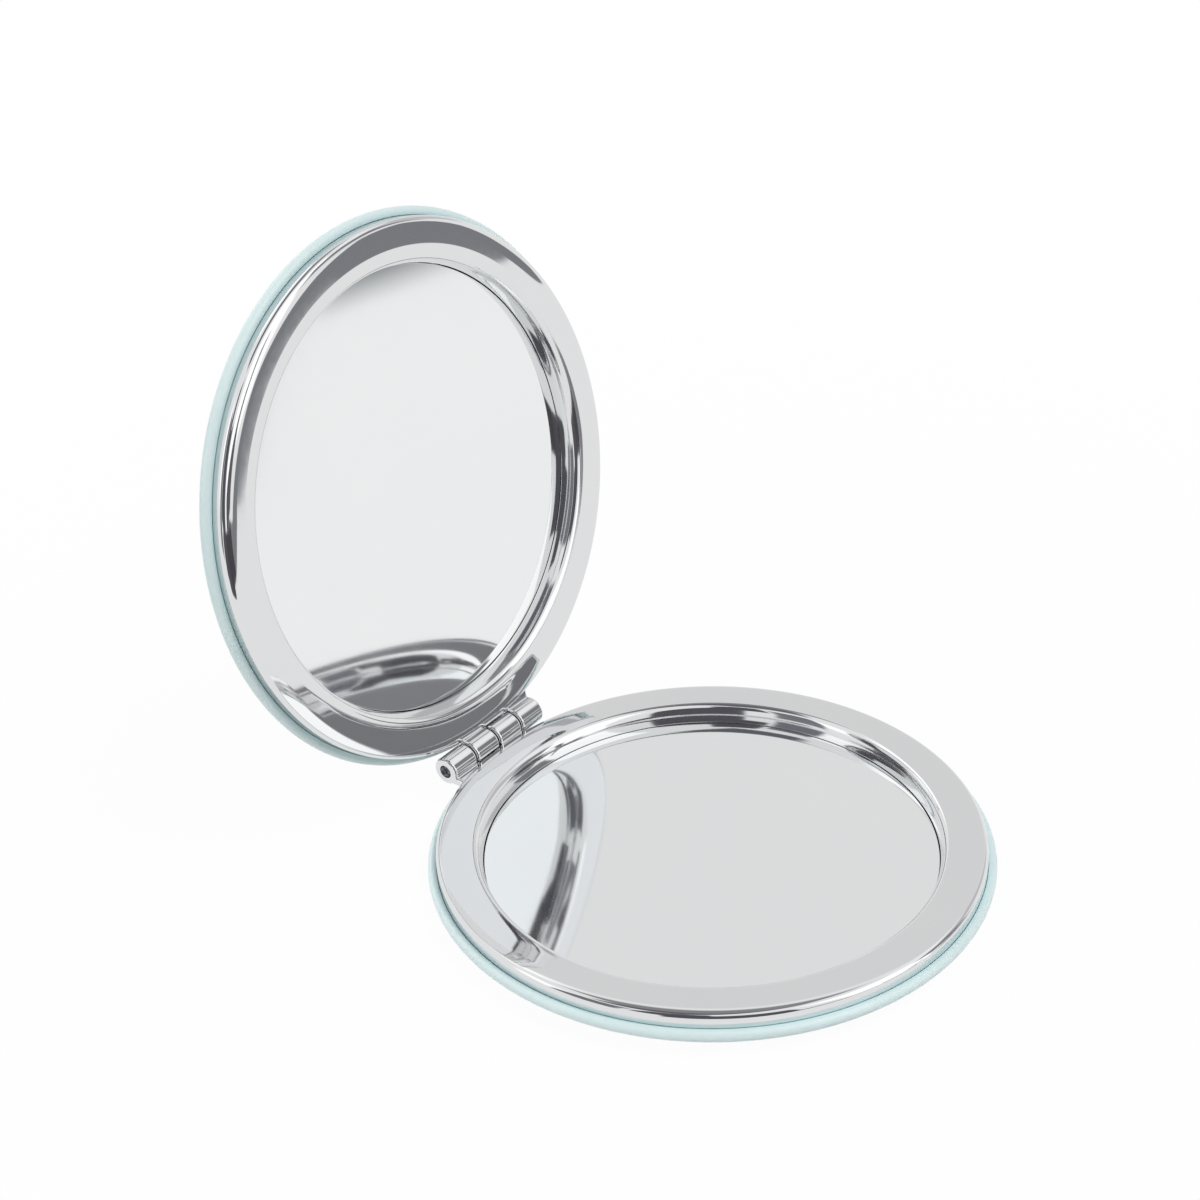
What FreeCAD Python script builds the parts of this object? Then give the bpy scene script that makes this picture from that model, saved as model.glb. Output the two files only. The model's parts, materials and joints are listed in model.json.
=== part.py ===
import FreeCAD, Part
import math
import os

from FreeCAD import Placement, Rotation, Vector

# Overall size of one half, seen from above
cover_radius = 35.0          # outermost reach of the leatherette lip
lip_reach = 1.1              # how far the lip stands out past the chrome ring
ring_width = 5.75            # ring, from its side to the wall of the recess
back_roll = 7.25             # soft shoulder of the back, from the lip in to the flat that it rests on

# Ring frame
ring_edge_fillet = 0.7       # round on the outer edge of the ring face
edge_drop = 0.23             # fall of the ring face towards its outer edge
edge_run = 1.3               # how far in from the side that fall starts
mouth_drop = 0.17            # fall of the ring face towards the recess
mouth_run = 1.35             # how far out from the mouth of the recess that fall starts
face_blend = 8.0             # round between the face and its falling borders
wall_fillet = 1.1            # round from the ring face into the wall of the recess
wall_flare = 0.6             # how far the wall leans out towards the face
wall_upright = 0.95          # upright foot of the wall above the glass
wall_sweep = 3.6             # round between that foot and the leaning wall
ledge_width = 1.65           # inward ledge that carries the glass
ledge_thickness = 0.4
roof_thickness = 1.0         # metal left behind the ring face by the coring
inner_wall = 1.35
outer_wall = 1.2

# Mirror
recess_depth = 2.6           # ring face to the glass
glass_thickness = 1.0
glass_clearance = 0.1        # radial room for the glass inside the recess
hollow_depth = 0.47          # dish of the magnifying glass in the base, from the ledge to its middle
pad_setback = 4.5            # edge of the adhesive pad under the glass, in from the ledge
tape_thickness = 0.2
tape_width = 1.1

# Wrapped back
tray_thickness = 0.45
foam_thickness = 0.3
foam_setback = 2.5           # edge of the foam in from the outermost reach
skin_thickness = 0.3
lip_radius = 0.75            # round of the leatherette over the rim
lip_depth = 2.62             # ring face down to the middle of that round
bond_gap = 0.02              # room for glue between the stacked pieces

# Hidden magnet
magnet_thickness = 1.0
magnet_clearance = 0.25

# Hinge
barrel_radius = 1.85
hinge_length = 18.0
knuckle_count = 4
knuckle_gap = 0.2
knuckle_fillet = 0.38
hinge_reach = 1.45           # hinge axis out from the side of the ring
barrel_clearance = 0.15      # relief in the ring round the other half's barrels
closed_gap = 0.3             # between the two ring faces when shut
web_drop = 0.25              # top of the web below the ring face
web_lift = 0.47              # underside of the web above the leatherette lip
web_root = 1.9               # how far the web reaches into the ring
pin_radius = 0.85
pin_recess = 0.65            # pin end inside the bore
running_clearance = 0.05
open_angle = 101.0           # photographed opening, from shut
flat_angle = 180.0           # opening at which the halves lie side by side

overrun = 1.0                # extra length of cutting tools
edge_match_share = 0.1       # how near an edge lies to where it is looked for, as a share of its round

# Radii worked out from the edge inwards
ring_radius = cover_radius - lip_reach
wall_radius = ring_radius - ring_width
mouth_radius = wall_radius + wall_flare
ledge_radius = wall_radius - ledge_width
core_outer_radius = ring_radius - outer_wall
core_inner_radius = wall_radius + inner_wall
glass_radius = wall_radius - glass_clearance
hollow_radius = (ledge_radius ** 2 + hollow_depth ** 2) / (2 * hollow_depth)
pad_radius = ledge_radius - pad_setback
flat_radius = cover_radius - back_roll

# Heights of the stack, from the surface that the base rests on
foam_bottom = skin_thickness
tray_bottom = foam_bottom + foam_thickness
tray_top = tray_bottom + tray_thickness
frame_back = tray_top + tape_thickness
glass_seat = frame_back + ledge_thickness
glass_top = glass_seat + glass_thickness
face_height = glass_top + recess_depth
core_top = face_height - roof_thickness

# Lip of the leatherette and the soft shoulder below it
lip_centre_r = cover_radius - lip_radius
lip_centre_z = face_height - lip_depth
shoulder_run = lip_centre_r - flat_radius
shoulder_radius = ((shoulder_run ** 2 + lip_centre_z ** 2 - lip_radius ** 2)
                   / (2 * (lip_centre_z - lip_radius)))
shoulder_turn = math.atan2(shoulder_run, shoulder_radius - lip_centre_z)
skin_inset = skin_thickness + bond_gap
turn_in_radius = ring_radius + bond_gap
rim_inner_radius = turn_in_radius + skin_inset
rim_round = lip_radius - skin_inset

# Dish of the tray: a flat floor that curves up to the rim
rim_foot_r = lip_centre_r + rim_round * math.sin(shoulder_turn)
rim_foot_z = lip_centre_z - rim_round * math.cos(shoulder_turn)
dish_run = rim_foot_r - flat_radius
dish_rise = rim_foot_z - tray_bottom
dish_radius = (dish_run ** 2 + dish_rise ** 2) / (2 * dish_rise)
dish_centre_z = tray_bottom + dish_radius

# Hinge
hinge_y = ring_radius + hinge_reach
hinge_z = face_height + closed_gap / 2
knuckle_pitch = (hinge_length + knuckle_gap) / knuckle_count
knuckle_length = knuckle_pitch - knuckle_gap


def line(a, b):
    """Straight edge of a turned outline, between two (radius, height) points."""
    return Part.LineSegment(Vector(a[0], 0, a[1]), Vector(b[0], 0, b[1])).toShape()


def arc(a, through, b):
    """Round edge of a turned outline through three (radius, height) points."""
    points = [Vector(r, 0, z) for r, z in (a, through, b)]
    return Part.Arc(*points).toShape()


def polyline(points):
    return [line(a, b) for a, b in zip(points, points[1:])]


def turned(edges):
    """Solid of revolution about Z from a closed outline."""
    face = Part.Face(Part.Wire(edges))
    return face.revolve(Vector(0, 0, 0), Vector(0, 0, 1), 360)


def disc(radius, bottom, top):
    return Part.makeCylinder(radius, top - bottom, Vector(0, 0, bottom))


def on_lip(radius, angle):
    """Point on a circle about the lip's middle, at an angle from straight out."""
    return (lip_centre_r + radius * math.cos(angle), lip_centre_z + radius * math.sin(angle))


def on_shoulder(inset, angle):
    """Point on the soft shoulder, inset into the back, at an angle from straight down."""
    radius = shoulder_radius - inset
    return (flat_radius + radius * math.sin(angle), shoulder_radius - radius * math.cos(angle))


def dish_height(radius, inset):
    """Height of the tray's dish at a radius, measured inset from its outside."""
    reach = max(radius - flat_radius, 0)
    return dish_centre_z - math.sqrt((dish_radius - inset) ** 2 - reach ** 2)


def dish_arc(start_r, end_r, inset):
    """Curved stretch of the dish between two radii."""
    middle_r = (start_r + end_r) / 2
    points = [(r, dish_height(r, inset)) for r in (start_r, middle_r, end_r)]
    return arc(*points)


def round_edges(solid, fillet, radius, height):
    """Rounds the circular edge of a turned solid that has this radius and height."""
    tolerance = fillet * edge_match_share
    edges = []
    for edge in solid.Edges:
        round_edge = hasattr(edge.Curve, "Radius") and abs(edge.Curve.Radius - radius) < tolerance
        if round_edge and abs(edge.BoundBox.ZMax - height) < tolerance:
            edges.append(edge)
    return solid.makeFillet(fillet, edges)


def ring():
    """Ring of the frame with its pillowed face, the recess wall and the ledge for the glass."""
    skirt = dish_height(ring_radius, tray_thickness + skin_inset + bond_gap)
    core_skirt = dish_height(core_outer_radius, tray_thickness + skin_inset + bond_gap)
    back_lift = tray_thickness + tape_thickness
    upright_top = (wall_radius, glass_top + wall_upright)
    mouth = (mouth_radius, face_height - mouth_drop)
    inner_fall = (mouth_radius + mouth_run, face_height)
    outer_fall = (ring_radius - edge_run, face_height)
    edge = (ring_radius, face_height - edge_drop)
    solid = turned(polyline([
        upright_top,
        mouth,
        inner_fall,
        outer_fall,
        edge,
        (ring_radius, skirt),
        (core_outer_radius, core_skirt),
        (core_inner_radius, dish_height(core_inner_radius, back_lift)),
        (ledge_radius, dish_height(ledge_radius, back_lift)),
        (ledge_radius, glass_seat),
        (wall_radius, glass_seat),
        upright_top,
    ]))
    solid = round_edges(solid, face_blend, *inner_fall)
    solid = round_edges(solid, face_blend, *outer_fall)
    solid = round_edges(solid, wall_sweep, *upright_top)
    solid = round_edges(solid, wall_fillet, *mouth)
    return round_edges(solid, ring_edge_fillet, *edge)


def knuckle_start(index):
    return knuckle_pitch * index - hinge_length / 2


def on_barrel(start, height):
    """Point at a height on the side of a barrel that faces the ring."""
    return Vector(start, hinge_y - math.sqrt(barrel_radius ** 2 - (hinge_z - height) ** 2), height)


def under_barrel(root):
    """Point where the underside of a web meets its barrel: level, or along a tangent to a small barrel."""
    drop = hinge_z - root.z
    if drop < barrel_radius:
        return on_barrel(root.x, root.z)
    reach = hinge_y - root.y
    touch = math.atan2(-drop, -reach) + math.acos(barrel_radius / math.hypot(reach, drop))
    across, up = barrel_radius * math.cos(touch), barrel_radius * math.sin(touch)
    return Vector(root.x, hinge_y + across, hinge_z + up)


def knuckle(index):
    """Barrel of the hinge with the web that joins it to the ring."""
    start = knuckle_start(index)
    web_top = face_height - web_drop
    web_bottom = lip_centre_z + lip_radius + web_lift
    root_y = ring_radius - web_root
    shoulder = on_barrel(start, web_top)
    back = Vector(start, hinge_y + barrel_radius, hinge_z)
    root_bottom = Vector(start, root_y, web_bottom)
    foot = under_barrel(root_bottom)
    root_top = Vector(start, root_y, web_top)
    barrel = Part.Arc(shoulder, back, foot).toShape()
    web = Part.makePolygon([foot, root_bottom, root_top, shoulder]).Edges
    blank = Part.Face(Part.Wire([barrel] + web)).extrude(Vector(knuckle_length, 0, 0))
    rims = [edge for edge in blank.Edges if edge.BoundBox.XLength < knuckle_fillet
            and edge.BoundBox.YMax > root_y + knuckle_fillet]
    return blank.makeFillet(knuckle_fillet, rims)


def on_hinge(radius, start, length):
    """Cylinder about the hinge axis."""
    return Part.makeCylinder(radius, length, Vector(start, hinge_y, hinge_z), Vector(1, 0, 0))


def frame(bore_radius):
    """Ring with its two cast-on knuckles, relieved for the other two, cored from behind and bored."""
    body = ring()
    relief_radius = barrel_radius + barrel_clearance
    for index in range(1, knuckle_count, 2):
        body = body.cut(on_hinge(relief_radius, knuckle_start(index) - knuckle_gap / 2, knuckle_pitch))
    for index in range(0, knuckle_count, 2):
        body = body.fuse(knuckle(index))
    core = disc(core_outer_radius, 0, core_top).cut(disc(core_inner_radius, 0, core_top))
    bore = on_hinge(bore_radius, -hinge_length / 2 - overrun, hinge_length + 2 * overrun)
    return body.cut(core).cut(bore).removeSplitter()


def flat_mirror():
    return disc(glass_radius, glass_seat, glass_seat + glass_thickness)


def hollow_cap(height, radius):
    """Solid above a hollow face that sits at a height over the ledge, out to a radius."""
    ball = Part.makeSphere(hollow_radius, Vector(0, 0, height - hollow_depth + hollow_radius))
    return disc(radius, 0, face_height).common(ball)


def hollow_mirror():
    """Bent glass of even thickness, resting by its back on the edge of the ledge."""
    return hollow_cap(glass_seat, glass_radius).cut(hollow_cap(glass_seat + glass_thickness, glass_radius))


def mirror_pad():
    return disc(pad_radius, tray_top + bond_gap, glass_seat - bond_gap)


def hollow_mirror_pad():
    """Adhesive pad pressed thin under the middle of the bent glass."""
    block = disc(pad_radius, tray_top + bond_gap, glass_seat)
    return block.cut(hollow_cap(glass_seat - bond_gap, cover_radius))


def frame_tape():
    """Adhesive ring between the tray's floor and the back of the frame."""
    inner = ledge_radius
    outer = ledge_radius + tape_width
    below = tray_thickness + bond_gap
    above = tray_thickness + tape_thickness - bond_gap
    corners = [(inner, below), (outer, below), (outer, above), (inner, above), (inner, below)]
    return turned(polyline([(radius, dish_height(radius, inset)) for radius, inset in corners]))


def tray():
    """Moulded back: a flat floor, a dished border and an upright rim with a round top."""
    rim_top_angle = math.acos((rim_inner_radius - lip_centre_r) / rim_round)
    rim_top = on_lip(rim_round, rim_top_angle)
    rim_foot = on_lip(rim_round, shoulder_turn - math.pi / 2)
    rim_side = on_lip(rim_round, (rim_top_angle + shoulder_turn - math.pi / 2) / 2)
    rim_root = (rim_inner_radius, dish_height(rim_inner_radius, tray_thickness))
    outline = polyline([(flat_radius, tray_top), (0, tray_top), (0, tray_bottom), (flat_radius, tray_bottom)])
    outline += [dish_arc(flat_radius, rim_foot_r, 0)]
    outline += [arc(rim_foot, rim_side, rim_top)]
    outline += [line(rim_top, rim_root)]
    outline += [dish_arc(rim_inner_radius, flat_radius, tray_thickness)]
    return turned(outline)


def foam():
    """Thin foam between the tray and the skin, thinner towards its edge."""
    edge_radius = cover_radius - foam_setback
    edge_angle = math.asin((edge_radius - flat_radius) / (shoulder_radius - skin_inset))
    lower_edge = on_shoulder(skin_inset, edge_angle)
    upper_edge = (edge_radius, dish_height(edge_radius, -bond_gap))
    flat_bottom = on_shoulder(skin_inset, 0)
    outline = polyline([
        (flat_radius, tray_bottom - bond_gap),
        (0, tray_bottom - bond_gap),
        (0, flat_bottom[1]),
        flat_bottom,
    ])
    outline += [arc(flat_bottom, on_shoulder(skin_inset, edge_angle / 2), lower_edge)]
    outline += [line(lower_edge, upper_edge)]
    outline += [dish_arc(edge_radius, flat_radius, -bond_gap)]
    return turned(outline)


def skin():
    """Leatherette drawn over the foam, round the rim and in under the edge of the frame."""
    turn_down = shoulder_turn - math.pi / 2
    crest_angle = math.acos((turn_in_radius - lip_centre_r) / lip_radius)
    inner_radius = turn_in_radius + skin_thickness
    inner_round = lip_radius - skin_thickness
    inner_angle = math.acos((inner_radius - lip_centre_r) / inner_round)
    flap_top = tray_thickness + skin_inset
    flap_bottom = tray_thickness + bond_gap
    outside = [
        line((0, 0), (flat_radius, 0)),
        arc(on_shoulder(0, 0), on_shoulder(0, shoulder_turn / 2), on_shoulder(0, shoulder_turn)),
        arc(on_lip(lip_radius, turn_down), on_lip(lip_radius, (turn_down + crest_angle) / 2),
            on_lip(lip_radius, crest_angle)),
    ]
    flap = [
        line(on_lip(lip_radius, crest_angle), (turn_in_radius, dish_height(turn_in_radius, flap_top))),
        dish_arc(turn_in_radius, core_outer_radius, flap_top),
        line((core_outer_radius, dish_height(core_outer_radius, flap_top)),
             (core_outer_radius, dish_height(core_outer_radius, flap_bottom))),
        dish_arc(core_outer_radius, inner_radius, flap_bottom),
        line((inner_radius, dish_height(inner_radius, flap_bottom)), on_lip(inner_round, inner_angle)),
    ]
    inside = [
        arc(on_lip(inner_round, inner_angle), on_lip(inner_round, (turn_down + inner_angle) / 2),
            on_lip(inner_round, turn_down)),
        arc(on_shoulder(skin_thickness, shoulder_turn), on_shoulder(skin_thickness, shoulder_turn / 2),
            on_shoulder(skin_thickness, 0)),
        line((flat_radius, skin_thickness), (0, skin_thickness)),
        line((0, skin_thickness), (0, 0)),
    ]
    return turned(outside + flap + inside)


def magnet():
    """Small disc magnet in the coring, against the back of the ring face, opposite the hinge."""
    radius = (core_outer_radius - core_inner_radius) / 2 - magnet_clearance
    middle = (core_outer_radius + core_inner_radius) / 2
    return Part.makeCylinder(radius, magnet_thickness, Vector(0, -middle, core_top - magnet_thickness))


def hinge_pin():
    length = hinge_length - 2 * pin_recess
    return on_hinge(pin_radius, -length / 2, length)


def as_lid(piece):
    """Turns a piece of the base end for end about the hinge, then swings it up to the photographed opening."""
    hinge = Vector(0, hinge_y, hinge_z)
    beside = Placement(Vector(0, 0, 0), Rotation(Vector(0, 0, 1), 180), hinge)
    swing = Placement(Vector(0, 0, 0), Rotation(Vector(1, 0, 0), flat_angle - open_angle), hinge)
    placed = piece.copy()
    placed.Placement = swing.multiply(beside)
    return placed


base_pieces = {
    "frame": frame(pin_radius),
    "mirror": hollow_mirror(),
    "mirror_pad": hollow_mirror_pad(),
    "frame_tape": frame_tape(),
    "tray": tray(),
    "foam": foam(),
    "skin": skin(),
    "magnet": magnet(),
}
lid_pieces = {
    "frame": frame(pin_radius + running_clearance),
    "mirror": flat_mirror(),
    "mirror_pad": mirror_pad(),
    "frame_tape": frame_tape(),
    "tray": tray(),
    "foam": foam(),
    "skin": skin(),
    "magnet": magnet(),
}

os.makedirs("parts", exist_ok=True)
for name, piece in base_pieces.items():
    piece.exportStep(f"parts/base_{name}.step")
for name, piece in lid_pieces.items():
    as_lid(piece).exportStep(f"parts/lid_{name}.step")
hinge_pin().exportStep("parts/hinge_pin.step")
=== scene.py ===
import json
import math

import bmesh
import bpy
from mathutils import Matrix, Vector


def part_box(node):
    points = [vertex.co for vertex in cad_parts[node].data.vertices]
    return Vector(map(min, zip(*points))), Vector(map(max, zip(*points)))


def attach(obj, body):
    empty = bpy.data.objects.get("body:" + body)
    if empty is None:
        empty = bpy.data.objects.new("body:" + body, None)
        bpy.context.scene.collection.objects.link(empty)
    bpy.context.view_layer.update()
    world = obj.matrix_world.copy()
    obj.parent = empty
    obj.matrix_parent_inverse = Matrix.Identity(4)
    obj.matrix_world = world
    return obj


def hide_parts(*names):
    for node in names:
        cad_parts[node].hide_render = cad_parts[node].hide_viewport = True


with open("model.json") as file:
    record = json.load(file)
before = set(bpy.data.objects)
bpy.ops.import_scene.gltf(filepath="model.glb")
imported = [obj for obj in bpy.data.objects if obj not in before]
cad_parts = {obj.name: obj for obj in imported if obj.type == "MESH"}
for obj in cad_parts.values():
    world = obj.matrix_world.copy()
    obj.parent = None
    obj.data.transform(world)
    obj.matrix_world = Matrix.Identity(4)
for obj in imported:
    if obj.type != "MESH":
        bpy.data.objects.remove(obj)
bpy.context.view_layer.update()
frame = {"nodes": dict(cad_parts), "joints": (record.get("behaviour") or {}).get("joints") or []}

# The compact is two like halves on one hinge pin. Sizes are in millimetres and are those of the base, which
# lies on its back with its ring face up. A lid piece is made as a base piece, turned end for end about the
# hinge and swung up to the opening that the frame is stored at.
mm = 0.001
lid_joint = frame["joints"][0]
hinge_point = Vector(lid_joint["pos_m"])
hinge_y = hinge_point.y / mm
hinge_z = hinge_point.z / mm
swing_from_flat = math.radians(lid_joint["range_deg"][1])

to_hinge = Matrix.Translation(hinge_point)
end_for_end = Matrix.Rotation(math.pi, 4, "Z")
swung_up = Matrix.Rotation(swing_from_flat, 4, "X")
halves = {
    "base": Matrix.Identity(4),
    "lid": to_hinge @ swung_up @ end_for_end @ to_hinge.inverted(),
}


# Back trays: dished ABS mouldings that the leatherette is drawn over, glued under the ring frames. They are
# hidden when the compact is whole, so the solids of the frame stay and get the finish of a matt moulding.
def linear(hex_colour):
    """Linear colour of an sRGB hex value."""
    channels = [int(hex_colour[i:i + 2], 16) / 255 for i in (1, 3, 5)]
    return [c / 12.92 if c <= 0.04045 else ((c + 0.055) / 1.055) ** 2.4 for c in channels] + [1.0]


def add(tree, kind, inputs=None, **settings):
    """Adds a node with its settings; each input is a value or the output that feeds it."""
    node = tree.nodes.new(kind)
    for name, value in settings.items():
        setattr(node, name, value)
    for socket, value in (inputs or {}).items():
        if isinstance(value, bpy.types.NodeSocket):
            tree.links.new(value, node.inputs[socket])
        else:
            node.inputs[socket].default_value = value
    return node


def finish(name):
    """New material with its node tree, its main shader and its object coordinates."""
    made = bpy.data.materials.new(name)
    made.use_nodes = True
    tree = made.node_tree
    place = add(tree, "ShaderNodeTexCoord").outputs["Object"]
    return made, tree, tree.nodes["Principled BSDF"], place


def mottled(tree, place, size_mm, dark, light):
    """Colour that drifts between two hex values in patches of a size."""
    noise = add(tree, "ShaderNodeTexNoise", {"Vector": place, "Scale": 1 / (size_mm * mm), "Detail": 3.0})
    tones = {0: noise.outputs["Fac"], 6: linear(dark), 7: linear(light)}
    return add(tree, "ShaderNodeMix", tones, data_type="RGBA").outputs[2]


def bumped(tree, shader, height, depth_mm):
    """Feeds a height of 0 to 1, over a depth in millimetres, to a shader's normal."""
    bump = add(tree, "ShaderNodeBump", {"Height": height, "Distance": depth_mm * mm, "Strength": 1.0})
    tree.links.new(bump.outputs["Normal"], shader.inputs["Normal"])


def moulded_abs():
    """Natural ABS from a spark-eroded mould: an even matt grain, a little uneven in tone."""
    made, tree, shader, place = finish("moulded_abs")
    patch_width = 6.0
    grain_width = 0.3
    grain_depth = 0.02
    tree.links.new(mottled(tree, place, patch_width, "#D6D6CF", "#E2E2DC"), shader.inputs["Base Color"])
    shader.inputs["Roughness"].default_value = 0.55
    grain = add(tree, "ShaderNodeTexNoise", {"Vector": place, "Scale": 1 / (grain_width * mm), "Detail": 2.0})
    bumped(tree, shader, grain.outputs["Fac"], grain_depth)
    return made


tray_finish = moulded_abs()
for half in halves:
    tray = frame["nodes"][f"{half}_tray"]
    tray.data.materials.clear()
    tray.data.materials.append(tray_finish)


# Foam discs: thin white foam glued to the tray under the leatherette, which softens the shoulder of the back.
# Each is a disc that follows the dish of the tray and ends short of the rim.
corner_step = math.radians(7.5)
fewest_steps = 3
merge_distance = 0.0005


def side(start, end):
    """Outward direction of a straight run of an outline that goes anticlockwise."""
    run = (end - start).normalized()
    return Vector((run.y, -run.x))


def rounded(corners, closed=True):
    """Points and outward directions along an outline, from its corners as (radius, height, round)."""
    places = [Vector((radius, height)) for radius, height, _ in corners]
    traced = []
    for index, (_, _, bend) in enumerate(corners):
        place = places[index]
        last = index + 1 == len(places)
        before = side(places[index - 1], place) if closed or index else None
        after = side(place, places[(index + 1) % len(places)]) if closed or not last else before
        before = before or after
        if not bend:
            traced.append((place, (before + after).normalized()))
            continue
        turn = math.atan2(before.x * after.y - before.y * after.x, before.dot(after))
        reach = bend * math.tan(abs(turn) / 2)
        outside = math.copysign(bend, turn)
        centre = place - Vector((-before.y, before.x)) * reach - before * outside
        steps = max(fewest_steps, math.ceil(abs(turn) / corner_step))
        for step in range(steps + 1):
            outward = Matrix.Rotation(turn * step / steps, 2) @ before
            traced.append((centre + outward * outside, outward))
    return traced + traced[:1] if closed else traced


def point_cloud(name, points, outward):
    """Object of loose points, in millimetres, that carry the direction their surface faces."""
    mesh = bpy.data.meshes.new(name)
    mesh.from_pydata([Vector(point) * mm for point in points], [], [])
    layer = mesh.attributes.new("outward", "FLOAT_VECTOR", "POINT")
    layer.data.foreach_set("vector", [value for direction in outward for value in direction])
    made = bpy.data.objects.new(name, mesh)
    bpy.context.scene.collection.objects.link(made)
    return made


def turning_tree():
    """Turns an outline about Z, and sets copies of a cast-on fitting along X beside it."""
    tree = bpy.data.node_groups.new("turned_piece", "GeometryNodeTree")
    wanted = [
        ("Outline", "NodeSocketGeometry"),
        ("Segments", "NodeSocketInt"),
        ("Fitting", "NodeSocketObject"),
        ("Fittings", "NodeSocketInt"),
        ("Fitting Pitch", "NodeSocketFloat"),
        ("Root Radius", "NodeSocketFloat"),
        ("Material", "NodeSocketMaterial"),
    ]
    for name, kind in wanted:
        tree.interface.new_socket(name, in_out="INPUT", socket_type=kind)
    tree.interface.new_socket("Piece", in_out="OUTPUT", socket_type="NodeSocketGeometry")
    given = add(tree, "NodeGroupInput").outputs
    count = add(tree, "GeometryNodeAttributeDomainSize", {0: given["Outline"]}).outputs["Point Count"]
    seam = add(tree, "FunctionNodeIntegerMath", {0: given["Segments"], 1: 1}, operation="ADD").outputs[0]
    sheet = add(tree, "GeometryNodeMeshGrid", {"Vertices X": seam, "Vertices Y": count}).outputs["Mesh"]
    index = add(tree, "GeometryNodeInputIndex").outputs[0]
    spoke = add(tree, "FunctionNodeIntegerMath", {0: index, 1: count}, operation="DIVIDE_FLOOR").outputs[0]
    along = add(tree, "FunctionNodeIntegerMath", {0: index, 1: count}, operation="MODULO").outputs[0]
    share = add(tree, "ShaderNodeMath", {0: spoke, 1: given["Segments"]}, operation="DIVIDE").outputs[0]
    angle = add(tree, "ShaderNodeMath", {0: share, 1: math.tau}, operation="MULTIPLY").outputs[0]
    outward = add(tree, "GeometryNodeInputNamedAttribute", {"Name": "outward"}, data_type="FLOAT_VECTOR")
    turned_fields = []
    for field in (add(tree, "GeometryNodeInputPosition").outputs[0], outward.outputs[0]):
        source = {"Geometry": given["Outline"], "Value": field, "Index": along}
        sampled = add(tree, "GeometryNodeSampleIndex", source, data_type="FLOAT_VECTOR").outputs[0]
        about_axis = {"Vector": sampled, "Angle": angle}
        swept = add(tree, "ShaderNodeVectorRotate", about_axis, rotation_type="Z_AXIS").outputs[0]
        turned_fields.append(swept)
    facing = add(tree, "GeometryNodeStoreNamedAttribute",
                 {"Geometry": sheet, "Name": "outward", "Value": turned_fields[1]}, data_type="FLOAT_VECTOR")
    turned_sheet = add(tree, "GeometryNodeSetPosition", {0: facing.outputs[0], "Position": turned_fields[0]})
    seamed = {0: turned_sheet.outputs[0], "Distance": merge_distance * mm}
    closed = add(tree, "GeometryNodeMergeByDistance", seamed)

    fitting = add(tree, "GeometryNodeObjectInfo", {"Object": given["Fitting"]}).outputs["Geometry"]
    pitch = add(tree, "ShaderNodeCombineXYZ", {"X": given["Fitting Pitch"]}).outputs[0]
    row = add(tree, "GeometryNodeMeshLine", {"Count": given["Fittings"], "Offset": pitch}).outputs[0]
    copies = add(tree, "GeometryNodeInstanceOnPoints", {"Points": row, "Instance": fitting}).outputs[0]
    cast_on = add(tree, "GeometryNodeRealizeInstances", {0: copies}).outputs[0]
    sunk = add(tree, "GeometryNodeInputNamedAttribute", {"Name": "sunk"}, data_type="BOOLEAN").outputs[0]
    spot = add(tree, "ShaderNodeSeparateXYZ", {0: add(tree, "GeometryNodeInputPosition").outputs[0]}).outputs
    across = add(tree, "ShaderNodeMath", {0: spot["X"], 1: 2.0}, operation="POWER").outputs[0]
    radius = add(tree, "ShaderNodeMath", {0: given["Root Radius"], 1: 2.0}, operation="POWER").outputs[0]
    rest = add(tree, "ShaderNodeMath", {0: radius, 1: across}, operation="SUBTRACT").outputs[0]
    reach = add(tree, "ShaderNodeMath", {0: rest}, operation="SQRT").outputs[0]
    root = add(tree, "ShaderNodeCombineXYZ", {"X": spot["X"], "Y": reach, "Z": spot["Z"]}).outputs[0]
    rooted = add(tree, "GeometryNodeSetPosition", {0: cast_on, "Selection": sunk, "Position": root})

    joined = add(tree, "GeometryNodeJoinGeometry", {0: rooted.outputs[0]})
    tree.links.new(closed.outputs[0], joined.inputs[0])
    real = add(tree, "GeometryNodeRealizeInstances", {0: joined.outputs[0]})
    smooth = add(tree, "GeometryNodeSetShadeSmooth", {0: real.outputs[0]})
    dressed = add(tree, "GeometryNodeSetMaterial", {0: smooth.outputs[0], "Material": given["Material"]})
    add(tree, "NodeGroupOutput", {0: dressed.outputs[0]})
    return tree


lathe = turning_tree()
segments_around = 288


def turned(name, outline, material, place, fitted=None, **settings):
    """Piece turned from an outline and put in its place, with the exact direction each point faces."""
    made = point_cloud(name, [(p.x, 0, p.y) for p, _ in outline], [(n.x, 0, n.y) for _, n in outline])
    settings = {"Segments": segments_around, "Material": material, **settings}
    lathing = made.modifiers.new("lathe", "NODES")
    lathing.node_group = lathe
    for socket in lathe.interface.items_tree:
        if socket.name in settings:
            lathing[socket.identifier] = settings[socket.name]
    ready = made.evaluated_get(bpy.context.evaluated_depsgraph_get())
    mesh = bpy.data.meshes.new_from_object(ready)
    made.modifiers.clear()
    facing = [point.vector.normalized() for point in mesh.attributes["outward"].data]
    if fitted:
        for vertex in mesh.vertices:
            vertex.co, facing[vertex.index] = fitted(vertex.co, facing[vertex.index])
    mesh.transform(place)
    turn = place.to_3x3()
    mesh.normals_split_custom_set_from_vertices([turn @ outward for outward in facing])
    mesh.attributes.remove(mesh.attributes["outward"])
    made.data = mesh
    return made


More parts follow.
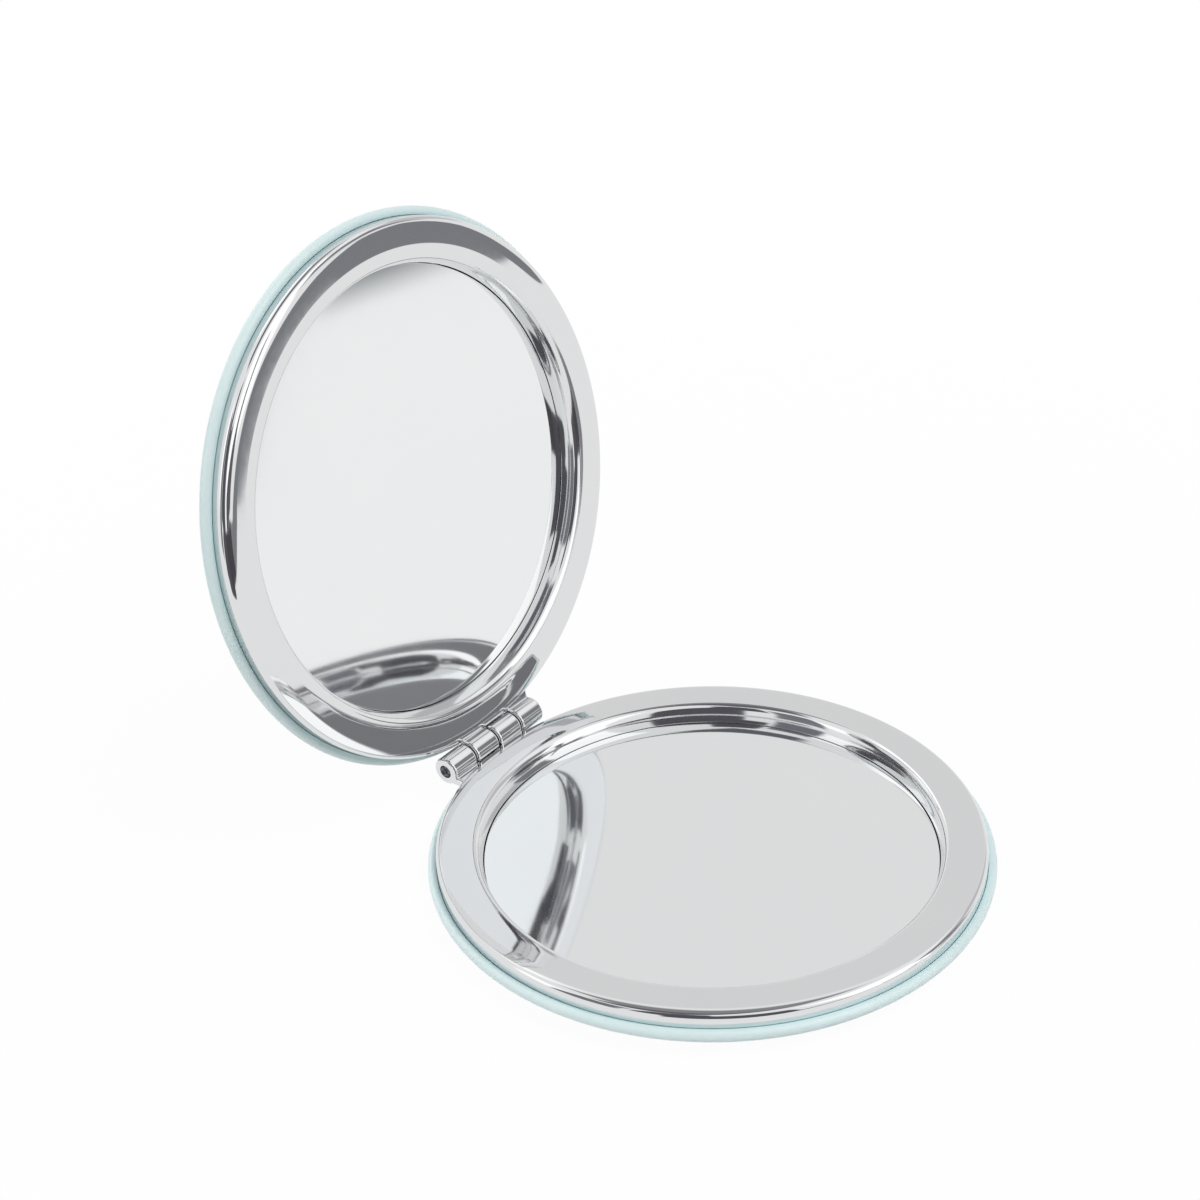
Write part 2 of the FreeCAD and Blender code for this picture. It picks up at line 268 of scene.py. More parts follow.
def white_foam():
    """Polyurethane foam sheet: soft, matt, with fine open cells."""
    made, tree, shader, place = finish("white_foam")
    patch_width = 3.0
    cell_width = 0.35
    cell_depth = 0.1
    tree.links.new(mottled(tree, place, patch_width, "#E6E4DC", "#F2F0EA"), shader.inputs["Base Color"])
    shader.inputs["Roughness"].default_value = 0.95
    cells = add(tree, "ShaderNodeTexVoronoi", {"Vector": place, "Scale": 1 / (cell_width * mm)})
    bumped(tree, shader, cells.outputs["Distance"], cell_depth)
    return made


flat_radius = 27.75
skin_thickness = 0.3
glue_gap = 0.02
tray_bottom = 0.6
foam_edge_radius = 32.5
foam_edge_bottom = 1.25
foam_edge_top = 1.38
foam_edge_round = 0.04
foam_bottom = skin_thickness + glue_gap
foam_top = tray_bottom - glue_gap
foam_bend_radius = 30.2
foam_bend_under = 12.3
foam_bend_over = 14.0
foam_outline = rounded([
    (0, foam_bottom, 0),
    (foam_bend_radius, foam_bottom, foam_bend_under),
    (foam_edge_radius, foam_edge_bottom, foam_edge_round),
    (foam_edge_radius, foam_edge_top, foam_edge_round),
    (foam_bend_radius, foam_top, foam_bend_over),
    (0, foam_top, 0),
], closed=False)
foam_finish = white_foam()
for half, place in halves.items():
    foam = turned(f"{half}_foam_disc", foam_outline, foam_finish, place)
    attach(foam, half)
    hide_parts(f"{half}_foam")


# Leatherette skins: one disc of mint coated fabric for each half, drawn over the foam, rolled round the rim
# of the tray and turned in under the ring. The roll is what shows as a soft lip round the chrome.
def mint_leatherette():
    """Polyurethane leatherette: a satin coating with a pebble grain, smooth at the rim, with painted shade in
    the hollows of the grain and painted bounce light, a brighter teal, in the fold.
    """
    made, tree, shader, place = finish("mint_leatherette")
    pebble_width = 0.6  # coarser than the real 0.4 mm or so, which would be too fine to show
    pebble_depth = 0.03
    grain_at_rim = 0.2
    drift_width = 5.0
    pebbles = {"Vector": place, "Scale": 1 / (pebble_width * mm)}
    cells = add(tree, "ShaderNodeTexVoronoi", pebbles, feature="SMOOTH_F1").outputs["Distance"]
    stretch = add(tree, "ShaderNodeAttribute", attribute_name="stretch").outputs["Fac"]
    left = add(tree, "ShaderNodeMapRange", {0: stretch, 3: 1.0, 4: grain_at_rim}).outputs[0]
    grain = add(tree, "ShaderNodeMath", {0: cells, 1: left}, operation="MULTIPLY").outputs[0]
    drift = add(tree, "ShaderNodeTexNoise", {"Vector": place, "Scale": 1 / (drift_width * mm), "Detail": 4.0})
    tone = {0: drift.outputs["Fac"], 6: linear("#D4E5E6"), 7: linear("#DCECED")}
    tone = add(tree, "ShaderNodeMix", tone, data_type="RGBA").outputs[2]
    # Painted shade: the hollows between the pebbles are darkened towards a greyer teal, less so at the smooth
    # rim.
    pebble_hollow_shade = {0: grain, 6: tone, 7: linear("#B4CED1")}
    pebble_hollow_shade = add(tree, "ShaderNodeMix", pebble_hollow_shade, data_type="RGBA").outputs[2]
    # Painted bounce light: where the skin turns in beside the ring, it is painted a brighter, more saturated
    # teal, which lifts the shade of the crevice.
    fold_bounce_light = add(tree, "ShaderNodeAttribute", attribute_name="fold_bounce_light").outputs["Fac"]
    colour = {0: fold_bounce_light, 6: pebble_hollow_shade, 7: linear("#CCEDEF")}
    colour = add(tree, "ShaderNodeMix", colour, data_type="RGBA").outputs[2]
    tree.links.new(colour, shader.inputs["Base Color"])
    shader.inputs["Roughness"].default_value = 0.33
    shader.inputs["Sheen Weight"].default_value = 0.1
    bumped(tree, shader, grain, pebble_depth)
    return made


def graded(piece, place, name, grade):
    """Gives each point of a piece a grade of 0 to 1, from its radius and height, for its finish to read."""
    own = place.inverted()
    layer = piece.data.attributes.new(name, "FLOAT", "POINT")
    for vertex in piece.data.vertices:
        spot = own @ vertex.co / mm
        layer.data[vertex.index].value = min(max(grade(spot.to_2d().length, spot.z), 0), 1)


def turned_in(radius, height):
    """How far a point of the roll has gone in towards the ring."""
    return (turn_in_radius + fold_reach - radius) / fold_reach if height > lip_middle else 0


def drawn_out(radius, height):
    """How far the skin has been drawn smooth over the shoulder, from the flat of the back to the rim."""
    return (radius - flat_radius) / (turn_in_radius - flat_radius)


lip_slack = 0.01
skin_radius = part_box("base_skin")[1].x / mm - lip_slack
lip_radius = 0.75
lip_middle = 2.63
shoulder_radius = 12.93
shoulder_turn = math.radians(32.26)
shoulder_corner = flat_radius + shoulder_radius * math.tan(shoulder_turn / 2)
lip_foot = (skin_radius - shoulder_corner) * math.tan(shoulder_turn)
lip_top = lip_middle + lip_radius
lip_crest = skin_radius - lip_radius
turn_in_radius = 33.92
turn_in_slope = math.asin((lip_crest - turn_in_radius) / lip_radius)
turn_in_top = lip_middle + lip_radius * math.cos(turn_in_slope)
turn_in_round = 0.04
fold_reach = 0.6
flap_radius = 32.7
flap_top_outer = 2.84
flap_top_inner = 2.30
flap_bottom_inner = 1.98
flap_bottom_outer = 2.66
fold_round = 0.1
pocket_radius = turn_in_radius + skin_thickness
pocket_outer_radius = skin_radius - skin_thickness
pocket_foot = lip_foot + skin_thickness * (1 / math.cos(shoulder_turn) - math.tan(shoulder_turn))
pocket_round = 0.05
skin_outline = rounded([
    (0, 0, 0),
    (shoulder_corner, 0, shoulder_radius),
    (skin_radius, lip_foot, lip_radius),
    (skin_radius, lip_top, lip_radius),
    (lip_crest - lip_radius * math.tan(turn_in_slope / 2), lip_top, lip_radius - turn_in_round),
    (turn_in_radius, turn_in_top, turn_in_round),
    (turn_in_radius, flap_top_outer, fold_round),
    (flap_radius, flap_top_inner, fold_round),
    (flap_radius, flap_bottom_inner, fold_round),
    (pocket_radius, flap_bottom_outer, pocket_round),
    (pocket_radius, lip_top - skin_thickness, pocket_round),
    (pocket_outer_radius, lip_top - skin_thickness, lip_radius - skin_thickness),
    (pocket_outer_radius, pocket_foot, lip_radius - skin_thickness),
    (shoulder_corner, skin_thickness, shoulder_radius - skin_thickness),
    (0, skin_thickness, 0),
], closed=False)
skin_finish = mint_leatherette()
for half, place in halves.items():
    skin = turned(f"{half}_leatherette", skin_outline, skin_finish, place)
    # Painted bounce light: the fold grade paints the turned-in skin beside the ring a brighter teal.
    graded(skin, place, "fold_bounce_light", turned_in)
    graded(skin, place, "stretch", drawn_out)
    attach(skin, half)
    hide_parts(f"{half}_skin")


# Ring frames: zinc castings, polished and plated with bright chrome. Each has a ring face that falls away
# softly at both borders, a recess with a ledge for the glass, a cored back, and two hinge knuckles cast on
# outside its rim.
def bright_chrome():
    """Bright chrome on polished zinc: a near-perfect mirror, duller in the recess that buffing misses."""
    made, tree, shader, place = finish("bright_chrome")
    patch_width = 9.0
    haze_width = 1.2
    recess_dulling = 0.05
    tree.links.new(mottled(tree, place, patch_width, "#E1E2E3", "#E5E5E6"), shader.inputs["Base Color"])
    shader.inputs["Metallic"].default_value = 1.0
    haze = add(tree, "ShaderNodeTexNoise", {"Vector": place, "Scale": 1 / (haze_width * mm), "Detail": 5.0})
    buffed = add(tree, "ShaderNodeMapRange", {0: haze.outputs["Fac"], 3: 0.02, 4: 0.05}).outputs[0]
    recess = add(tree, "ShaderNodeAttribute", attribute_name="recess").outputs["Fac"]
    dulled = {0: recess, 1: recess_dulling, 2: buffed}
    rough = add(tree, "ShaderNodeMath", dulled, operation="MULTIPLY_ADD").outputs[0]
    tree.links.new(rough, shader.inputs["Roughness"])
    return made


ring_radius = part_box("base_frame")[1].x / mm
face_height = 5.25
edge_height = 5.02
edge_round = 0.7
outer_fall_radius = 32.6
inner_fall_radius = 30.1
face_blend = 8.0
mouth_radius = 28.75
mouth_height = 5.08
mouth_round = 1.1
wall_radius = 28.15
upright_top = 3.6
wall_sweep = 3.6
ledge_radius = 26.5
glass_seat = 1.65
frame_back = 1.25
dished_back = 1.36
core_outer_radius = 32.7
core_inner_radius = 29.5
core_top = 4.25
skirt_outer = 2.86
skirt_inner = 2.32
cast_round = 0.1
ring_outline = rounded([
    (ledge_radius, frame_back, cast_round),
    (core_inner_radius, dished_back, cast_round),
    (core_inner_radius, core_top, cast_round),
    (core_outer_radius, core_top, cast_round),
    (core_outer_radius, skirt_inner, cast_round),
    (ring_radius, skirt_outer, cast_round),
    (ring_radius, edge_height, edge_round),
    (outer_fall_radius, face_height, face_blend),
    (inner_fall_radius, face_height, face_blend),
    (mouth_radius, mouth_height, mouth_round),
    (wall_radius, upright_top, wall_sweep),
    (wall_radius, glass_seat, cast_round),
    (ledge_radius, glass_seat, cast_round),
])

barrel_radius = 1.85
hinge_length = 18.0
knuckle_count = 4
knuckle_gap = 0.2
knuckle_pitch = (hinge_length + knuckle_gap) / knuckle_count
knuckle_length = knuckle_pitch - knuckle_gap
knuckle_round = 0.38
bore_radius = 0.88
bore_round = 0.06
web_top = 5.0
web_bottom = 3.85
web_round = 0.2
root_y = 32.0
root_depth = 1.0
barrel_middle = Vector((hinge_y, hinge_z))


def bend(middle, radius, start, end, hollow=False):
    """Points and outward directions along an arc between two angles; a hollow one faces its middle."""
    steps = math.ceil(abs(end - start) / corner_step)
    traced = []
    for step in range(steps + 1):
        outward = Matrix.Rotation(start + (end - start) * step / steps, 2) @ Vector((1, 0))
        traced.append((middle + outward * radius, -outward if hollow else outward))
    return traced


def web_corner(height, above):
    """Middle of the hollow round between the web and the barrel, and its direction from the barrel."""
    level = height + above * web_round
    reach = math.sqrt((barrel_radius + web_round) ** 2 - (hinge_z - level) ** 2)
    return Vector((hinge_y - reach, level)), math.atan2(level - hinge_z, -reach)


def knuckle():
    """One bored knuckle of the hinge with its web, its edges rounded, starting at the hinge's left end."""
    under, under_angle = web_corner(web_bottom, -1)
    over, over_angle = web_corner(web_top, 1)
    section = [(Vector((root_y, web_bottom)), Vector((0, -1)))]
    section += bend(under, web_round, math.pi / 2, under_angle + math.pi, hollow=True)
    section += bend(barrel_middle, barrel_radius, under_angle, over_angle + math.tau)[1:-1]
    section += bend(over, web_round, over_angle + math.pi, -math.pi / 2, hollow=True)
    section += [(Vector((root_y, web_top)), Vector((0, 1)))]
    bore = bend(barrel_middle, bore_radius, 0, math.tau, hollow=True)[:-1]
    start = -hinge_length / 2
    end = start + knuckle_length
    work = bmesh.new()
    facing = work.verts.layers.float_vector.new("outward")
    sunk = work.verts.layers.bool.new("sunk")

    def loop(rim, edge_round, x, tilt, end_side):
        """One ring of points; tilt is how far the rounded edge has turned towards the end face."""
        made = []
        for point, outward in rim:
            inset = point - outward * edge_round * (1 - math.cos(tilt))
            vert = work.verts.new(Vector((x, inset.x, inset.y)) * mm)
            flat_share = math.cos(tilt)
            vert[facing] = (end_side * math.sin(tilt), outward.x * flat_share, outward.y * flat_share)
            vert[sunk] = point.x < root_y + cast_round
            made.append(vert)
        return made

    round_steps = 4
    tilts = [math.pi / 2 * step / round_steps for step in range(round_steps + 1)]
    rims = []
    for rim, edge_round in ((section, knuckle_round), (bore, bore_round)):
        rings = []
        for tilt in reversed(tilts):
            rings.append(loop(rim, edge_round, start + edge_round * (1 - math.sin(tilt)), tilt, -1))
        for tilt in tilts:
            rings.append(loop(rim, edge_round, end - edge_round * (1 - math.sin(tilt)), tilt, 1))
        for first, second in zip(rings, rings[1:]):
            for near, far in zip(range(-1, len(rim) - 1), range(len(rim))):
                work.faces.new((first[near], first[far], second[far], second[near]))
        rims.append(rings)
    for which in (0, -1):
        edge_loops = [rings[which] for rings in rims]
        edges = []
        for ring in edge_loops:
            edges += [work.edges.get((ring[i - 1], ring[i])) for i in range(len(ring))]
        bmesh.ops.triangle_fill(work, edges=edges, use_beauty=True)
    bmesh.ops.recalc_face_normals(work, faces=work.faces)
    mesh = bpy.data.meshes.new("knuckle")
    work.to_mesh(mesh)
    work.free()
    return bpy.data.objects.new("knuckle", mesh)


barrel_clearance = 0.15
relief_radius = barrel_radius + barrel_clearance
other_knuckles = range(1, knuckle_count, 2)
reliefs = [-hinge_length / 2 + knuckle_pitch * index - knuckle_gap / 2 for index in other_knuckles]


def in_recess(radius, height):
    """How far a point of the ring has gone in over the mouth of the recess."""
    return (mouth_radius + mouth_round - radius) / mouth_round


def relieved(point, outward):
    """Point of the ring, moved clear of the other half's two barrels."""
    off_axis = Vector((point.y / mm, point.z / mm)) - barrel_middle
    beside = any(start < point.x / mm < start + knuckle_pitch for start in reliefs)
    if beside and off_axis.length < relief_radius:
        off_axis.normalize()
        clear = barrel_middle + off_axis * relief_radius
        return Vector((point.x, clear.x * mm, clear.y * mm)), Vector((0, -off_axis.x, -off_axis.y))
    return point, outward


chrome = bright_chrome()
one_knuckle = knuckle()
bpy.context.scene.collection.objects.link(one_knuckle)
for half, place in halves.items():
    cast_on = {
        "Fitting": one_knuckle,
        "Fittings": knuckle_count // 2,
        "Fitting Pitch": 2 * knuckle_pitch * mm,
        "Root Radius": (ring_radius - root_depth) * mm,
    }
    ring = turned(f"{half}_ring", ring_outline, chrome, place, relieved, **cast_on)
    graded(ring, place, "recess", in_recess)
    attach(ring, half)
    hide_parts(f"{half}_frame")
bpy.data.objects.remove(one_knuckle)


# Mirrors: discs of silvered float glass in the recesses, bonded to the backs by a pad. The base has a bent
# glass that magnifies, and the lid a flat one.
def silvered_glass():
    """Float glass, silvered behind: a clean mirror with the faint green-grey of the glass."""
    made, tree, shader, place = finish("silvered_glass")
    patch_width = 12.0
    dust_width = 4.0
    tree.links.new(mottled(tree, place, patch_width, "#EEF0F1", "#F1F3F3"), shader.inputs["Base Color"])
    shader.inputs["Metallic"].default_value = 1.0
    dust = add(tree, "ShaderNodeTexNoise", {"Vector": place, "Scale": 1 / (dust_width * mm), "Detail": 6.0})
    rough = add(tree, "ShaderNodeMapRange", {0: dust.outputs["Fac"], 3: 0.03, 4: 0.06})
    tree.links.new(rough.outputs[0], shader.inputs["Roughness"])
    return made


def adhesive():
    """Double-sided adhesive pad: a matt, slightly yellowed film."""
    made, tree, shader, place = finish("adhesive_pad")
    patch_width = 4.0
    tree.links.new(mottled(tree, place, patch_width, "#D9D6C8", "#E6E3D8"), shader.inputs["Base Color"])
    shader.inputs["Roughness"].default_value = 0.7
    return made


glass_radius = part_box("base_mirror")[1].x / mm + glue_gap
glass_thickness = 1.0
glass_edge_round = 0.08
hollow_depth = {"base": 0.47, "lid": 0.0}
pad_radius = 22.0
pad_edge_round = 0.04
tray_top = 1.05
glass_steps = 14


def dished(height, depth, radius):
    """Points of a shallow dish from its middle out to a radius, so deep at the ledge."""
    radii = [radius * step / glass_steps for step in range(glass_steps)] + [radius]
    return [(r, height - depth * (1 - (r / ledge_radius) ** 2), 0) for r in radii]


glass_finish = silvered_glass()
pad_finish = adhesive()
for half, place in halves.items():
    depth = hollow_depth[half]
    back = dished(glass_seat, depth, glass_radius)
    front = dished(glass_seat + glass_thickness, depth, glass_radius)
    back[-1] = (*back[-1][:2], glass_edge_round)
    front[-1] = (*front[-1][:2], glass_edge_round)
    mirror = turned(f"{half}_glass", rounded(back + front[::-1], closed=False), glass_finish, place)
    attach(mirror, half)
    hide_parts(f"{half}_mirror")
    pad_top = dished(glass_seat - glue_gap, depth, pad_radius)
    pad_top[-1] = (*pad_top[-1][:2], pad_edge_round)
    pad_bottom = [(0, tray_top + glue_gap, 0), (pad_radius, tray_top + glue_gap, pad_edge_round)]
    pad = turned(f"{half}_glass_pad", rounded(pad_bottom + pad_top[::-1], closed=False), pad_finish, place)
    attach(pad, half)
    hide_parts(f"{half}_mirror_pad")


# Frame tapes: flat rings of double-sided tape between the floor of each tray and the back of its ring frame.
# They lie under the ledge that carries the glass, where the floor is still flat.
tape_width = 1.1
tape_bottom = tray_top + glue_gap
tape_top = frame_back - glue_gap
tape_round = 0.02
tape_outline = rounded([
    (ledge_radius, tape_bottom, tape_round),
    (ledge_radius + tape_width, tape_bottom, tape_round),
    (ledge_radius + tape_width, tape_top, tape_round),
    (ledge_radius, tape_top, tape_round),
])
for half, place in halves.items():
    tape = turned(f"{half}_tape_ring", tape_outline, pad_finish, place)
    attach(tape, half)
    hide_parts(f"{half}_frame_tape")


# Closing magnets: small nickel-plated discs glued behind the ring faces opposite the hinge, so that the
# halves pull shut. They are sealed in, and each has the small round that tumbling gives its edges.
def nickel_plate():
    """Nickel on sintered magnet: a warm, slightly dull metal, a little uneven from the barrel plating."""
    made, tree, shader, place = finish("nickel_plate")
    patch_width = 0.6
    wear_width = 0.2
    tree.links.new(mottled(tree, place, patch_width, "#BDB6A8", "#CFC8BB"), shader.inputs["Base Color"])
    shader.inputs["Metallic"].default_value = 1.0
    wear = add(tree, "ShaderNodeTexNoise", {"Vector": place, "Scale": 1 / (wear_width * mm), "Detail": 3.0})
    rough = add(tree, "ShaderNodeMapRange", {0: wear.outputs["Fac"], 3: 0.2, 4: 0.35})
    tree.links.new(rough.outputs[0], shader.inputs["Roughness"])
    return made


magnet_radius = 1.35
magnet_thickness = 1.0
magnet_round = 0.15
magnet_segments = 48
magnet_place = Matrix.Translation((0, -(core_inner_radius + core_outer_radius) / 2 * mm, 0))
magnet_outline = rounded([
    (0, core_top - magnet_thickness, 0),
    (magnet_radius, core_top - magnet_thickness, magnet_round),
    (magnet_radius, core_top, magnet_round),
    (0, core_top, 0),
], closed=False)
nickel = nickel_plate()
for half, place in halves.items():
    seat = place @ magnet_place
    magnet = turned(f"{half}_disc_magnet", magnet_outline, nickel, seat, Segments=magnet_segments)
    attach(magnet, half)
    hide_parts(f"{half}_magnet")


# Hinge pin: a cut length of drawn steel wire, pressed into the base's knuckles and free in the lid's. Its
# ends lie inside the outer knuckles, with the small round that the cut-off tool leaves.
def drawn_steel():
    """Drawn steel wire: bright grey metal with fine lines along its length from the die."""
    made, tree, shader, place = finish("drawn_steel")
    patch_width = 0.8
    line_width = 0.1
    line_length = 2.0
    tree.links.new(mottled(tree, place, patch_width, "#8E9093", "#A4A6A9"), shader.inputs["Base Color"])
    shader.inputs["Metallic"].default_value = 1.0
    drawn = (line_width / line_length, 1.0, 1.0)
    along = add(tree, "ShaderNodeMapping", {"Vector": place, "Scale": drawn}).outputs[0]
    lines = add(tree, "ShaderNodeTexNoise", {"Vector": along, "Scale": 1 / (line_width * mm), "Detail": 3.0})
    rough = add(tree, "ShaderNodeMapRange", {0: lines.outputs["Fac"], 3: 0.22, 4: 0.38})
    tree.links.new(rough.outputs[0], shader.inputs["Roughness"])
    return made


pin_radius = 0.85
pin_recess = 0.65
pin_round = 0.15
pin_segments = 64
pin_reach = hinge_length / 2 - pin_recess
pin_place = to_hinge @ Matrix.Rotation(math.pi / 2, 4, "Y")
pin_outline = rounded([
    (0, -pin_reach, 0),
    (pin_radius, -pin_reach, pin_round),
    (pin_radius, pin_reach, pin_round),
    (0, pin_reach, 0),
], closed=False)
pin = turned("hinge_pin_wire", pin_outline, drawn_steel(), pin_place, Segments=pin_segments)
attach(pin, "base")
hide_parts("hinge_pin")


# Studio: a white table top under the compact, three soft lamps, and the boards and dark corners of a room
# that polished metal needs around it. The boards are only seen in reflections.
table_radius = 215
table_segments = 96
shadow_radius = 60
white_near = 0.96
white_in_chrome = 0.95


def background_rays(tree):
    """The kinds of ray, and which of them see the white background: camera, mirror and glass rays."""
    rays = add(tree, "ShaderNodeLightPath").outputs
    seen = {0: rays["Is Camera Ray"], 1: rays["Is Glossy Ray"]}
    seen = add(tree, "ShaderNodeMath", seen, operation="MAXIMUM").outputs[0]
    seen = {0: seen, 1: rays["Is Transmission Ray"]}
    return rays, add(tree, "ShaderNodeMath", seen, operation="MAXIMUM").outputs[0]


def table_white():
    """White table top that reads as white to the eye and in the chrome, and still takes a soft shadow."""
    made, tree, shader, place = finish("table_white")
    shader.inputs["Base Color"].default_value = linear("#E2E2E2")
    shader.inputs["Roughness"].default_value = 1.0
    shader.inputs["Specular IOR Level"].default_value = 0.0
    distance = add(tree, "ShaderNodeVectorMath", {0: place}, operation="LENGTH").outputs["Value"]
    fade = {0: distance, 1: shadow_radius * mm, 2: table_radius * mm, 3: white_near, 4: 1.0}
    away = add(tree, "ShaderNodeMapRange", fade).outputs[0]
    rays, seen = background_rays(tree)
    share = add(tree, "ShaderNodeMath", {0: seen, 1: away}, operation="MULTIPLY").outputs[0]
    level = add(tree, "ShaderNodeMapRange", {0: rays["Is Glossy Ray"], 3: 1.0, 4: white_in_chrome}).outputs[0]
    glow = add(tree, "ShaderNodeEmission", {"Color": linear("#FFFFFF"), "Strength": level}).outputs[0]
    blend = add(tree, "ShaderNodeMixShader", {0: share, 1: shader.outputs[0], 2: glow}).outputs[0]
    tree.links.new(blend, tree.nodes["Material Output"].inputs["Surface"])
    return made


def board_finish(name, tone, strength):
    """Even tone of a board far from the compact, which fades out over its border."""
    made, tree, shader, _ = finish(name)
    body = add(tree, "ShaderNodeAttribute", attribute_name="body").outputs["Fac"]
    clear = add(tree, "ShaderNodeBsdfTransparent").outputs[0]
    glow = add(tree, "ShaderNodeEmission", {"Color": linear(tone), "Strength": strength}).outputs[0]
    blend = add(tree, "ShaderNodeMixShader", {0: body, 1: clear, 2: glow}).outputs[0]
    tree.links.new(blend, tree.nodes["Material Output"].inputs["Surface"])
    tree.nodes.remove(shader)
    return made


def staged(name, work, material):
    """Piece of the studio, which is no part of the compact."""
    mesh = bpy.data.meshes.new(name)
    work.to_mesh(mesh)
    work.free()
    mesh.materials.append(material)
    made = bpy.data.objects.new(name, mesh)
    bpy.context.scene.collection.objects.link(made)
    return made


def facing(azimuth, elevation):
    """Direction to an azimuth, clockwise from the hinge side, and an elevation, with its right and its up."""
    turn = math.radians(azimuth)
    rise = math.radians(elevation)
    out = Vector((math.sin(turn) * math.cos(rise), math.cos(turn) * math.cos(rise), math.sin(rise)))
    right = Vector((math.cos(turn), -math.sin(turn), 0))
    return out, right, right.cross(out)


def board(name, tone, azimuth, elevation, reach, corners, border, strength=1.0):
    """Board square to a direction, from its corners (right, up), clockwise, with a soft border."""
    out, right, up = facing(azimuth, elevation)
    flat = [Vector(corner) for corner in corners]
    work = bmesh.new()
    body = work.verts.layers.float.new("body")
    loops = []
    for grown, shade in ((0, 1), (border, 0)):
        loop = []
        for index, corner in enumerate(flat):
            before = (corner - flat[index - 1]).normalized()
            after = (flat[(index + 1) % len(flat)] - corner).normalized()
            outward = Vector((-before.y - after.y, before.x + after.x))
            outward *= 2 / outward.length_squared
            place = corner + outward * grown
            vert = work.verts.new((out * reach + right * place.x + up * place.y) * mm)
            vert[body] = shade
            loop.append(vert)
        loops.append(loop)
    work.faces.new(loops[0])
    for index in range(len(flat)):
        work.faces.new((loops[0][index - 1], loops[0][index], loops[1][index], loops[1][index - 1]))
    work.normal_update()
    bmesh.ops.triangulate(work, faces=work.faces)
    made = staged(name, work, board_finish(name, tone, strength))
    made.visible_camera = False
    made.visible_diffuse = False
    made.visible_shadow = False


def upright(left, right, bottom, top):
    """Corners of a board with upright sides."""
    return [(left, bottom), (left, top), (right, top), (right, bottom)]


top_work = bmesh.new()
bmesh.ops.create_circle(top_work, cap_ends=True, radius=table_radius * mm, segments=table_segments)
staged("table_top", top_work, table_white())

board("back_wall", "#E8E8E8", 55, 37, 1500, upright(-620, 700, -620, 420), 60)
board("back_ceiling", "#909092", 55, 68, 1500, upright(-330, 330, -230, 300), 60)
board("back_light", "#FFFFFF", 12, 42, 1600, upright(-330, 330, -330, 330), 150, 1.35)
board("ceiling", "#6B6B72", 0, 90, 1700, upright(-760, 390, -480, 220), 120)
board("window", "#FAFBFD", 112, 50, 1500, upright(-340, 300, -190, 230), 40, 1.08)
board("front_light", "#FFFFFF", 168, 30, 1900, upright(-720, 560, -1050, 1050), 60, 1.35)
board("left_light", "#FFFFFF", -68, 26, 1500, upright(-480, 480, -420, 420), 120, 1.3)
board("left_panel", "#7B7B82", -85, 0, 300, upright(-30, 90, 40, 330), 15)
board("dark_room", "#85878B", 140, 0, 1500, [
    (-560, -60), (-560, -15), (-450, 60), (-375, 170), (-205, 285), (-60, 300), (60, 180), (140, 45),
    (200, 10), (230, -60), (290, -125), (340, -150), (420, -130), (640, -40), (640, -300), (130, -245),
    (86, -223), (63, -188), (28, -141), (0, -115), (-50, -82), (-110, -74), (-180, -116), (-300, -98),
], 2)
board("dark_room_edge", "#85878B", 140, 0, 1490, upright(-140, -55, -86, -60), 26)
board("dark_front", "#4F4C50", 182, 0, 1400, [
    (-640, -290), (-640, -120), (-450, -70), (-230, 10), (640, 210), (640, -290),
], 20)
board("light_stand", "#626266", 140, 0, 1480, [
    (300, 330), (335, 330), (395, 205), (490, 125), (550, 85), (600, 45), (900, 120), (900, -60), (460, -75),
    (435, -20), (425, 40), (430, 100), (370, 180),
], 8)
board("dark_screen", "#88888B", 140, 0, 1500, upright(-374, 184, 374, 1090), 40)
board("grey_side", "#CDCDCF", 110, 0, 1500, upright(-490, 400, 600, 1350), 120)
board("low_dark", "#5B5654", -128, 0, 1000, upright(-400, 300, -60, 165), 40)
board("behind_camera", "#5A585E", -126, 0, 235, [
    (-125, 0), (-125, 230), (10, 240), (15, 430), (135, 430), (135, 108), (72, 92), (72, 0),
], 10)


lamp_reach = 900


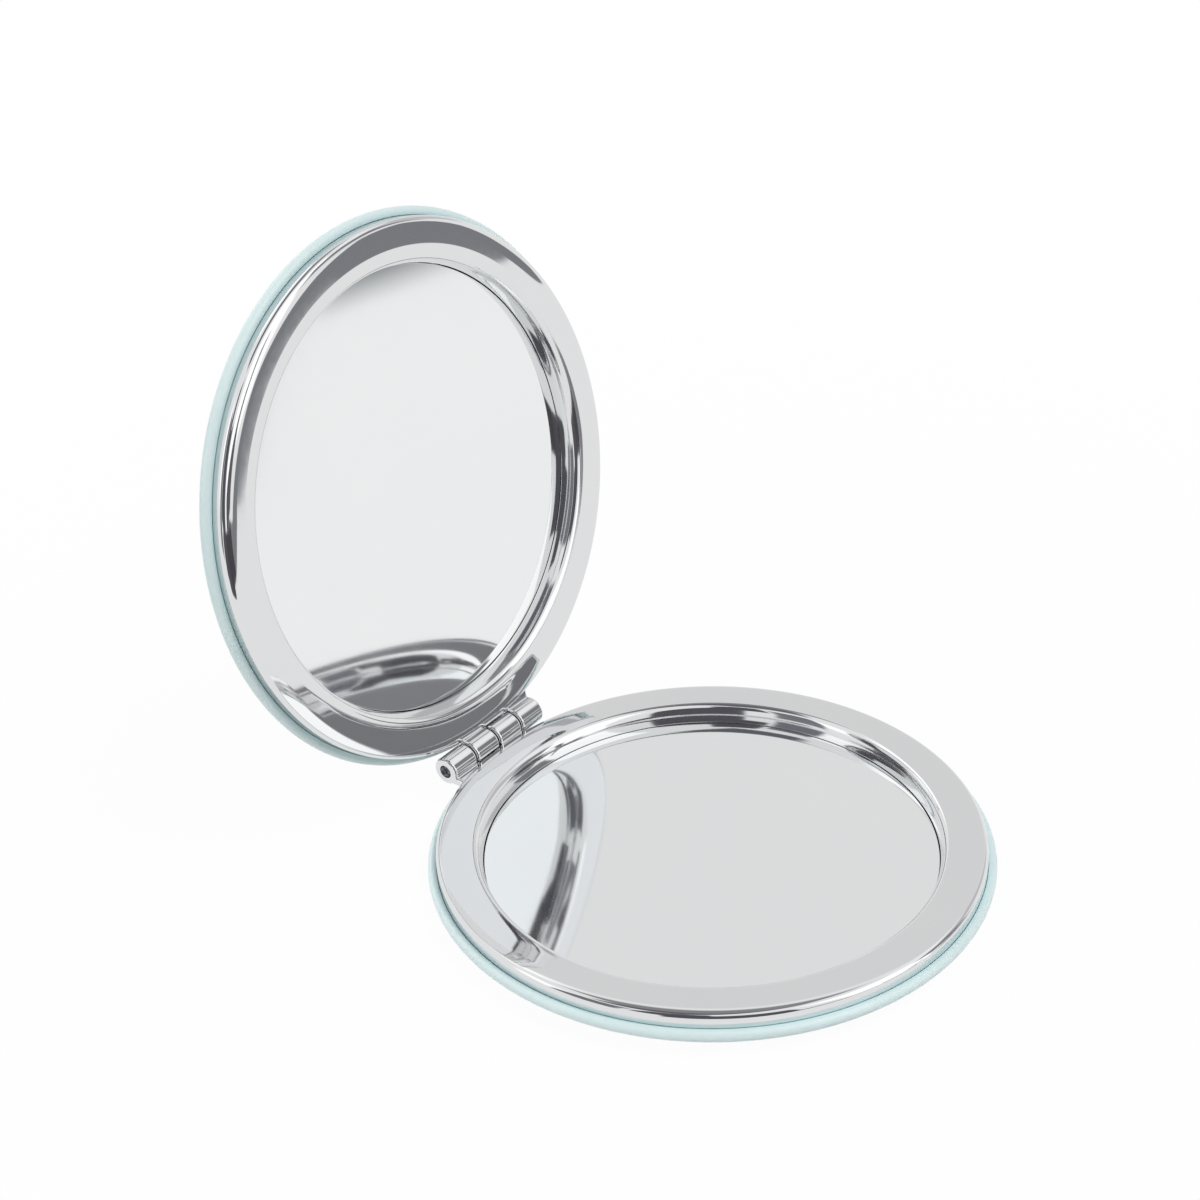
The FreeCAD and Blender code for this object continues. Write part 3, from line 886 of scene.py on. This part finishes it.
def lamp(name, watts, width, height, azimuth, elevation):
    """Soft lamp: a lit panel turned to the compact."""
    out, right, up = facing(azimuth, elevation)
    light = bpy.data.lights.new(name, "AREA")
    light.shape = "RECTANGLE"
    light.size = width * mm
    light.size_y = height * mm
    light.energy = watts
    made = bpy.data.objects.new(name, light)
    turn = Matrix((right, up, out)).transposed()
    made.matrix_world = Matrix.Translation(out * lamp_reach * mm) @ turn.to_4x4()
    made.visible_glossy = False
    bpy.context.scene.collection.objects.link(made)


lamp("key_lamp", 4.8, 500, 350, 166, 60)
lamp("side_lamp", 2.6, 450, 450, -65, 28)
lamp("back_lamp", 2.6, 450, 450, 10, 15)

room_light = 0.36
world = bpy.data.worlds.new("white_studio")
world.use_nodes = True
sky = world.node_tree
rays, seen = background_rays(sky)
level = add(sky, "ShaderNodeMapRange", {0: seen, 3: room_light, 4: 1.0}).outputs[0]
dimmed = {0: rays["Is Glossy Ray"], 1: white_in_chrome - 1.0, 2: level}
level = add(sky, "ShaderNodeMath", dimmed, operation="MULTIPLY_ADD").outputs[0]
sky.nodes["Background"].inputs["Color"].default_value = linear("#FFFFFF")
sky.links.new(level, sky.nodes["Background"].inputs["Strength"])
bpy.context.scene.world = world
bpy.context.scene.view_settings.view_transform = "Standard"

# Camera: stands where the photograph was taken from, looking down on the open compact from its front left.
# Its place, turn, lens and shift are fitted to the outlines of both halves.
camera_place = Vector((-180.68, -127.49, 168.74)) * mm
camera_right = Vector((0.6005, -0.7991, -0.0285))
camera_up = Vector((0.4375, 0.2986, 0.8482))
camera_back = camera_right.cross(camera_up)
camera_data = bpy.data.cameras.new("camera")
camera_data.sensor_width = 36.0
camera_data.lens = 66.757
camera_data.shift_x = -0.0160
camera_data.shift_y = 0.0474
camera_data.clip_start = 10 * mm
camera = bpy.data.objects.new("camera", camera_data)
turn = Matrix((camera_right, camera_up, camera_back)).transposed()
camera.matrix_world = Matrix.Translation(camera_place) @ turn.to_4x4()
bpy.context.scene.collection.objects.link(camera)
bpy.context.scene.camera = camera
